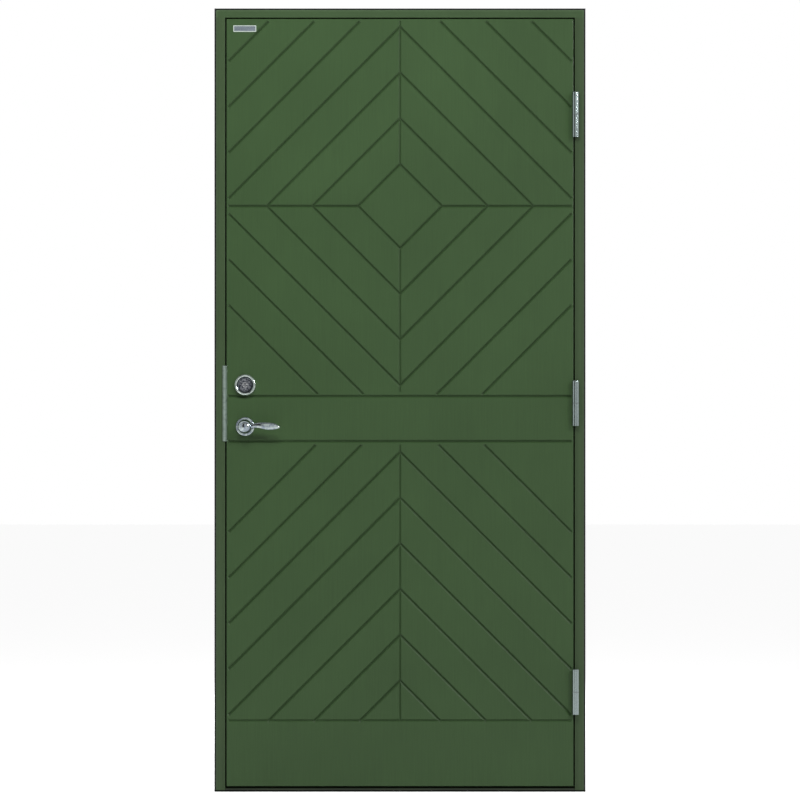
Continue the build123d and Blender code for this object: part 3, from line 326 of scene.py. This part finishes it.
def metal(name, colour, roughness, brush=(1, 1, 1), brush_size=0.0008, tint=0.1):
    """Brushed or satin metal: fine brush lines in colour, gloss and relief."""
    s = Shader(name)
    s.set(Metallic=1.0)
    lines = s.noise(size=brush_size, stretch=brush, detail=3.0, roughness=0.6)
    tone = s.tones(lines, MIDDLE_SPAN, (1 - tint, 1 + tint), colour)
    smears = s.tones(s.noise(size=0.03, detail=3.0), SHORT_SPAN, (0.95, 1.03))
    s.colour(s.multiply(tone, smears))
    s.gloss(lines, LONG_SPAN, (roughness * 0.85, roughness * 1.2))
    s.relief(s.bump(lines, strength=0.25, depth=0.00004))
    return s.material


# Painted sheen across the cover strip: lighter along the middle, darker at the edges.
GUARD_TONES = [
    (0.0, (0.115, 0.155, 0.125)),
    (0.25, (0.225, 0.285, 0.245)),
    (0.44, (0.310, 0.380, 0.345)),
    (0.66, (0.215, 0.275, 0.240)),
    (0.90, (0.115, 0.160, 0.125)),
]


def painted_sheen_strip(name):
    """The cover strip, lighter along its middle and darker at its edges as painted sheen, with a few
    darker and lighter marks.
    """
    s = Shader(name)
    s.set(Metallic=1.0)
    tone = s.ramp(s.levels(s.axis("X"), (guard_low.x, guard_high.x), (0, 1)), GUARD_TONES)
    lines = s.noise(size=0.0009, stretch=along("Z", 0.02), detail=3.0, roughness=0.6)
    fine = s.tones(lines, MIDDLE_SPAN, (0.92, 1.08))
    marks = s.tones(s.noise(size=0.009), (0.30, 0.46, 0.70), (0.72, 1.0, 1.12))
    s.colour(s.multiply(s.multiply(tone, fine), marks))
    s.gloss(lines, LONG_SPAN, (0.30, 0.42))
    s.relief(s.bump(lines, strength=0.2, depth=0.00004))
    return s.material


def clouded_metal(name, dark, light, size, roughness, dents=0.12):
    """Polished metal whose surface is slightly wavy, with darker and lighter patches."""
    s = Shader(name)
    s.set(Metallic=1.0)
    patch = s.noise(size=size, roughness=0.6)
    fine = s.noise(size=0.0008, detail=3.0)
    s.colour(s.ramp(patch, list(zip(CLOUD_SPAN, (dark, light)))))
    s.gloss(fine, LONG_SPAN, (roughness * 0.85, roughness * 1.2))
    waves = s.bump(patch, strength=dents, depth=0.001)
    s.relief(s.bump(fine, strength=0.1, depth=0.00004, under=waves))
    return s.material


PLATE_RIM = 0.002
RIM_BLUR = 0.0003


def framed_plate(name, lit_rim_colour, field_colour):
    """The bare plate: a rim lit by painted highlight round a darker field, both brushed along the plate.
    """
    s = Shader(name)
    s.set(Metallic=1.0)
    beyond = []
    for number, axis in ((0, "X"), (2, "Z")):
        middle = (plate_low[number] + plate_high[number]) / 2
        reach = plate_high[number] - middle - PLATE_RIM
        span = (reach - RIM_BLUR, reach + RIM_BLUR)
        beyond.append(s.levels(s.distance(axis, middle), span, (0, 1)))
    lines = s.noise(size=0.0012, stretch=along("X", 0.04), detail=3.0)
    field = s.tones(lines, SHORT_SPAN, (0.8, 1.25), field_colour)
    # The rim's brightness is a painted highlight where the raised rim catches light.
    rim = s.tones(lines, SHORT_SPAN, (0.93, 1.07), lit_rim_colour)
    s.colour(s.mix(field, rim, factor=s.calculate("MAXIMUM", *beyond)))
    s.gloss(lines, LONG_SPAN, (0.22, 0.34))
    s.relief(s.bump(lines, strength=0.2, depth=0.00005))
    return s.material


# Rubber, timber and foam


def rubber(name, colour, shine=0.3):
    """Rubber or plastic with a little dust on it."""
    s = Shader(name)
    s.set(Specular_IOR_Level=shine)
    dust = s.noise(size=0.004, detail=4.0)
    s.colour(s.tones(dust, (0.35, 0.8), (1.0, 1.8), colour))
    s.gloss(dust, SHORT_SPAN, (0.6, 0.75))
    s.relief(s.bump(s.noise(size=0.0006), strength=0.2, depth=0.0001))
    return s.material


def timber(name, light, dark, grain):
    """Planed softwood with growth rings along the piece."""
    s = Shader(name)
    s.set(Specular_IOR_Level=0.3)
    waves = s.node("ShaderNodeTexWave", wave_type="BANDS", bands_direction="X")
    waves.inputs["Scale"].default_value = 28
    waves.inputs["Distortion"].default_value = 5
    waves.inputs["Detail"].default_value = 3
    s.join(s.place(grain), waves, "Vector")
    rings = s.ramp(waves.outputs["Fac"], [(0.2, light), (0.85, dark)])
    fibre = s.noise(size=0.0012, stretch=grain, detail=4.0)
    s.colour(s.multiply(rings, s.tones(fibre, SHORT_SPAN, (0.85, 1.08))))
    s.gloss(fibre, SHORT_SPAN, (0.55, 0.7))
    s.relief(s.bump(fibre, strength=0.3, depth=0.0002))
    return s.material


CELLS_PER_METRE = 500


def foam(name, colour):
    """Cut foam with open cells."""
    s = Shader(name)
    s.set(Specular_IOR_Level=0.2, Roughness=0.9)
    cells = s.node("ShaderNodeTexVoronoi")
    cells.inputs["Scale"].default_value = CELLS_PER_METRE
    s.join(s.place((1, 1, 1)), cells, "Vector")
    s.colour(s.tones(cells.outputs["Distance"], (0.1, 0.6), (0.8, 1.0), colour))
    s.relief(s.bump(cells.outputs["Distance"], strength=0.4, depth=0.0005))
    return s.material


# The material of each slot, and of the four pieces that look different from the rest of their slot

looks = {
    "leaf_paint": paint("leaf_paint", GREEN, contrast=0.01, edges=groove_shade),
    "frame_paint": paint("frame_paint", FRAME_GREEN, contrast=0.14, edges=frame_edges),
    "edge_paint": paint("edge_paint", GREEN),
    "bare_timber": timber(
        "bare_timber", light=(0.52, 0.36, 0.2), dark=(0.36, 0.22, 0.11), grain=along("X", 0.05)
    ),
    "foam": foam("foam", (0.75, 0.72, 0.6)),
    "satin_aluminium": metal(
        "satin_aluminium", (0.42, 0.43, 0.43), roughness=0.34, brush=along("X", 0.02)
    ),
    "bright_strip": painted_sheen_strip("bright_strip"),
    "satin_steel": metal(
        "satin_steel", (0.5, 0.5, 0.48), roughness=0.3, brush=along("Z", 0.02)
    ),
    "galvanised_steel": metal(
        "galvanised_steel", (0.45, 0.46, 0.47), roughness=0.45, brush_size=0.004, tint=0.2
    ),
    "zinc_screws": metal("zinc_screws", (0.5, 0.5, 0.49), roughness=0.3),
    "hinge_steel": metal(
        "hinge_steel", (0.25, 0.30, 0.295), roughness=0.17, brush=along("XY", 0.05), tint=0.06
    ),
    "washer_plastic": rubber("washer_plastic", grey(0.03)),
    "handle_metal": clouded_metal(
        "handle_metal",
        dark=(0.20, 0.235, 0.28),
        light=(0.38, 0.44, 0.43),
        size=0.008,
        roughness=0.15,
        dents=0.2,
    ),
    "cylinder_metal": clouded_metal(
        "cylinder_metal",
        dark=(0.018, 0.022, 0.034),
        light=(0.23, 0.24, 0.26),
        size=0.0034,
        roughness=0.3,
    ),
    "plug_brass": clouded_metal(
        "plug_brass",
        dark=(0.04, 0.045, 0.06),
        light=(0.48, 0.49, 0.50),
        size=0.0032,
        roughness=0.25,
    ),
    "plate_metal": framed_plate(
        "plate_metal", lit_rim_colour=(0.80, 0.90, 0.84), field_colour=(0.24, 0.28, 0.32)
    ),
    "black_rubber": rubber("black_rubber", (0.002, 0.0024, 0.002), shine=0.04),
}
own_looks = {
    "frame_head": paint("head_paint", HEAD_GREEN, grain="X", contrast=0.05, edges=frame_edges),
    # The threshold and its strip are very dark and greenish, much darker than their slots' timber and
    # aluminium.
    "threshold": timber(
        "dark_timber",
        light=(0.020, 0.026, 0.015),
        dark=(0.012, 0.016, 0.010),
        grain=along("X", 0.03),
    ),
    "threshold_strip": metal(
        "dark_strip", (0.020, 0.027, 0.017), roughness=0.38, brush=along("X", 0.03)
    ),
    "cylinder_ring": clouded_metal(
        "ring_metal",
        dark=(0.36, 0.41, 0.39),
        light=(0.50, 0.57, 0.53),
        size=0.010,
        roughness=0.14,
    ),
}
slots = {row["node"]: row["material_slot"] for row in frame["record"]["subparts"]}


def look_of(node):
    return own_looks.get(node, looks[slots[node]])


for name, piece in nodes.items():
    for slot in piece.material_slots:
        slot.material = look_of(name)


# The cylinder's ring: a flat foot, a straight flank, a full round lip and a cup down to the cylinder

BORE = 0.0171
FOOT = 0.0030
FOOT_ROUND = 0.0004
FLANK_STEP = 0.0002
LIP = 0.0032
LIP_TURN = 160
CUP_RADIUS = 0.0218
CUP_FLOOR = 0.0075
CUP_FLOOR_RADIUS = 0.0188
CUP_WALL_START = (0.0192, 0.0078)
SHARP_ANGLE = 40


def arc(centre, radius, start, end, steps):
    """Points of an arc in the plane of radius and height, angles in degrees."""
    angles = [math.radians(start + (end - start) * k / steps) for k in range(steps + 1)]
    return [(centre[0] + radius * math.cos(a), centre[1] + radius * math.sin(a)) for a in angles]


def ring_profile(outer, height):
    """The ring's section, as closed points of radius and height off the door's face."""
    flank = outer - FLANK_STEP
    return [
        (BORE, 0.0),
        (outer, 0.0),
        *arc((outer - FOOT_ROUND, FOOT - FOOT_ROUND), FOOT_ROUND, 0, 90, 4),
        (flank, FOOT + FOOT_ROUND),
        *arc((flank - LIP, height - LIP), LIP, 0, LIP_TURN, 28),
        CUP_WALL_START,
        (CUP_FLOOR_RADIUS, CUP_FLOOR),
        (BORE, CUP_FLOOR),
    ]


def turned(name, axis_x, axis_z, face_y, profile, segments=144):
    """Turn a closed profile of radius and height round an axis square to the door."""
    corners, faces = [], []
    for k in range(segments):
        angle = 2 * math.pi * k / segments
        across, up = math.cos(angle), math.sin(angle)
        for radius, height in profile:
            corners.append((axis_x + radius * across, face_y - height, axis_z + radius * up))
    count = len(profile)
    for k in range(segments):
        here, after = k * count, (k + 1) % segments * count
        for i in range(count):
            j = (i + 1) % count
            faces.append((here + i, here + j, after + j, after + i))
    mesh = bpy.data.meshes.new(name)
    mesh.from_pydata(corners, [], faces)
    mesh.validate()
    mesh.polygons.foreach_set("use_smooth", [True] * len(faces))
    mesh.set_sharp_from_angle(angle=math.radians(SHARP_ANGLE))
    made = bpy.data.objects.new(name, mesh)
    scene.collection.objects.link(made)
    return made


def line_cup(ring, axis_x, axis_z, material):
    """Give another material to the faces that lie within the cup's radius, here a darker metal that
    paints the shade in the cup.
    """
    ring.data.materials.append(material)
    corners = [vertex.co for vertex in ring.data.vertices]
    for face in ring.data.polygons:
        off = [math.hypot(corners[v].x - axis_x, corners[v].z - axis_z) for v in face.vertices]
        if max(off) < CUP_RADIUS:
            face.material_index = 1


profile = ring_profile(outer=ring_high.x - ring_x, height=ring_high.y - ring_low.y)
round_ring = turned("round_ring", ring_x, ring_z, ring_high.y, profile)
round_ring.data.materials.append(look_of("cylinder_ring"))
# Darker metal in the cup, as painted shade in the ring's recess.
cup_shade_metal = clouded_metal(
    "cup_shade_metal", dark=(0.05, 0.06, 0.07), light=(0.14, 0.16, 0.17), size=0.006, roughness=0.2
)
line_cup(round_ring, ring_x, ring_z, cup_shade_metal)
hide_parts("cylinder_ring")
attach(round_ring, "leaf")


# Floor, background and light

FLOOR_SIZE = 60


def daylight_floor(glow):
    """A pale floor that keeps shadows and is about as bright as the background round it."""
    bpy.ops.mesh.primitive_plane_add(size=FLOOR_SIZE, location=(0, 0, 0))
    floor = bpy.context.object
    floor.name = "floor"
    made = bpy.data.materials.new("floor")
    s = Tree(made)
    lit = s.node("ShaderNodeBsdfDiffuse")
    lit.inputs["Color"].default_value = (*grey(0.8), 1)
    shine = s.node("ShaderNodeEmission")
    shine.inputs["Color"].default_value = (*WHITE, 1)
    s.join(s.levels(s.seen_or_mirrored(), (0, 1), (0, glow)), shine, "Strength")
    both = s.node("ShaderNodeAddShader")
    s.join(lit.outputs[0], both, 0)
    s.join(shine.outputs[0], both, 1)
    s.join(both.outputs[0], s.node("ShaderNodeOutputMaterial"), "Surface")
    floor.data.materials.append(made)


def white_world(ambient):
    """White where it is seen or mirrored, and an even soft light for everything else."""
    world = bpy.data.worlds.new("studio")
    scene.world = world
    s = Tree(world)
    back = s.node("ShaderNodeBackground")
    back.inputs["Color"].default_value = (*WHITE, 1)
    s.join(s.levels(s.seen_or_mirrored(), (0, 1), (ambient, 1)), back, "Strength")
    s.join(back.outputs[0], s.node("ShaderNodeOutputWorld"), "Surface")


def lean_back(made, direction):
    """Turn an object's back to a direction. Lamps and panels face the other way."""
    made.rotation_mode = "QUATERNION"
    made.rotation_quaternion = Vector(direction).to_track_quat("Z", "Y")


def sun(direction, strength, softness):
    """Light that comes from a direction. Metal doesn't mirror it, since the highlight lamp does that."""
    lamp = bpy.data.lights.new("key", "SUN")
    lamp.energy = strength
    lamp.angle = math.radians(softness)
    made = bpy.data.objects.new("key", lamp)
    made.visible_glossy = False
    lean_back(made, direction)
    scene.collection.objects.link(made)


def softbox(name, place, target, size, power, mirrored=False):
    """A soft lamp that only lights the surfaces, or one that only shows as a highlight on metal."""
    lamp = bpy.data.lights.new(name, "AREA")
    lamp.shape = "RECTANGLE"
    lamp.size, lamp.size_y = size
    lamp.energy = power
    made = bpy.data.objects.new(name, lamp)
    made.visible_glossy = mirrored
    made.visible_diffuse = not mirrored
    made.location = place
    lean_back(made, Vector(place) - Vector(target))
    scene.collection.objects.link(made)


def flag(name, place, target, size, tone):
    """A dark panel beside the set. Only mirror reflections see it."""
    bpy.ops.mesh.primitive_plane_add(size=1, location=place)
    made = bpy.context.object
    made.name = name
    made.scale = (*size, 1)
    lean_back(made, Vector(place) - Vector(target))
    s = Shader(name)
    s.set(Base_Color=(*grey(tone), 1), Roughness=1.0)
    made.data.materials.append(s.material)
    made.visible_camera = False
    made.visible_diffuse = False
    made.visible_shadow = False
    made.visible_transmission = False


MIDDLE = (0.0, 0.0, 1.0)
FILL_LAMPS = [
    ("fill_back", (0.0, 4.6, 2.8), 120),
    ("fill_left", (-4.4, 1.4, 2.4), 60),
    ("fill_right", (4.4, 1.4, 2.4), 60),
]
FLAG_TARGET = (0.0, 0.0, 1.2)
FLAGS = [
    ("flag_left", (-2.72, -5.35, 1.6), (3.2, 9.0), 0.02),
    ("flag_right", (4.4, -4.2, 1.6), (1.6, 9.0), 0.03),
    ("flag_top_low", (0.0, -4.2, 4.9), (9.0, 1.0), 0.10),
    ("flag_top_high", (0.0, -2.6, 6.0), (9.0, 1.6), 0.05),
]

daylight_floor(glow=0.62)
white_world(ambient=0.21)
sun(direction=(0.55, -0.70, 0.52), strength=1.3, softness=14)
softbox("softbox", place=(-0.4, -2.6, 3.3), target=(0.0, 0.0, 1.9), size=(1.6, 0.8), power=80)
for name, place, power in FILL_LAMPS:
    softbox(name, place, MIDDLE, size=(2.0, 2.0), power=power)
softbox(
    "highlight",
    place=(4.2, -3.0, 2.9),
    target=(-0.4, 0.0, 1.0),
    size=(1.0, 1.0),
    power=300,
    mirrored=True,
)
for name, place, size, tone in FLAGS:
    flag(name, place, FLAG_TARGET, size, tone)


# Camera, level with the door's middle and far enough off to show no perspective

FRAME_PIXELS = 800
MM_PER_PIXEL = 2.668
VIEW_CENTRE = (0.00007, 1.0452)
DISTANCE = 14.0
SENSOR = 36.0

camera_data = bpy.data.cameras.new("camera")
camera_data.sensor_width = SENSOR
camera_data.lens = SENSOR * DISTANCE / (FRAME_PIXELS * MM_PER_PIXEL / 1000)
camera_data.clip_end = 200
camera = bpy.data.objects.new("camera", camera_data)
camera.location = (VIEW_CENTRE[0], skin_low.y - DISTANCE, VIEW_CENTRE[1])
camera.rotation_euler = (math.radians(90), 0, 0)
scene.collection.objects.link(camera)
scene.camera = camera
scene.view_settings.view_transform = "Standard"
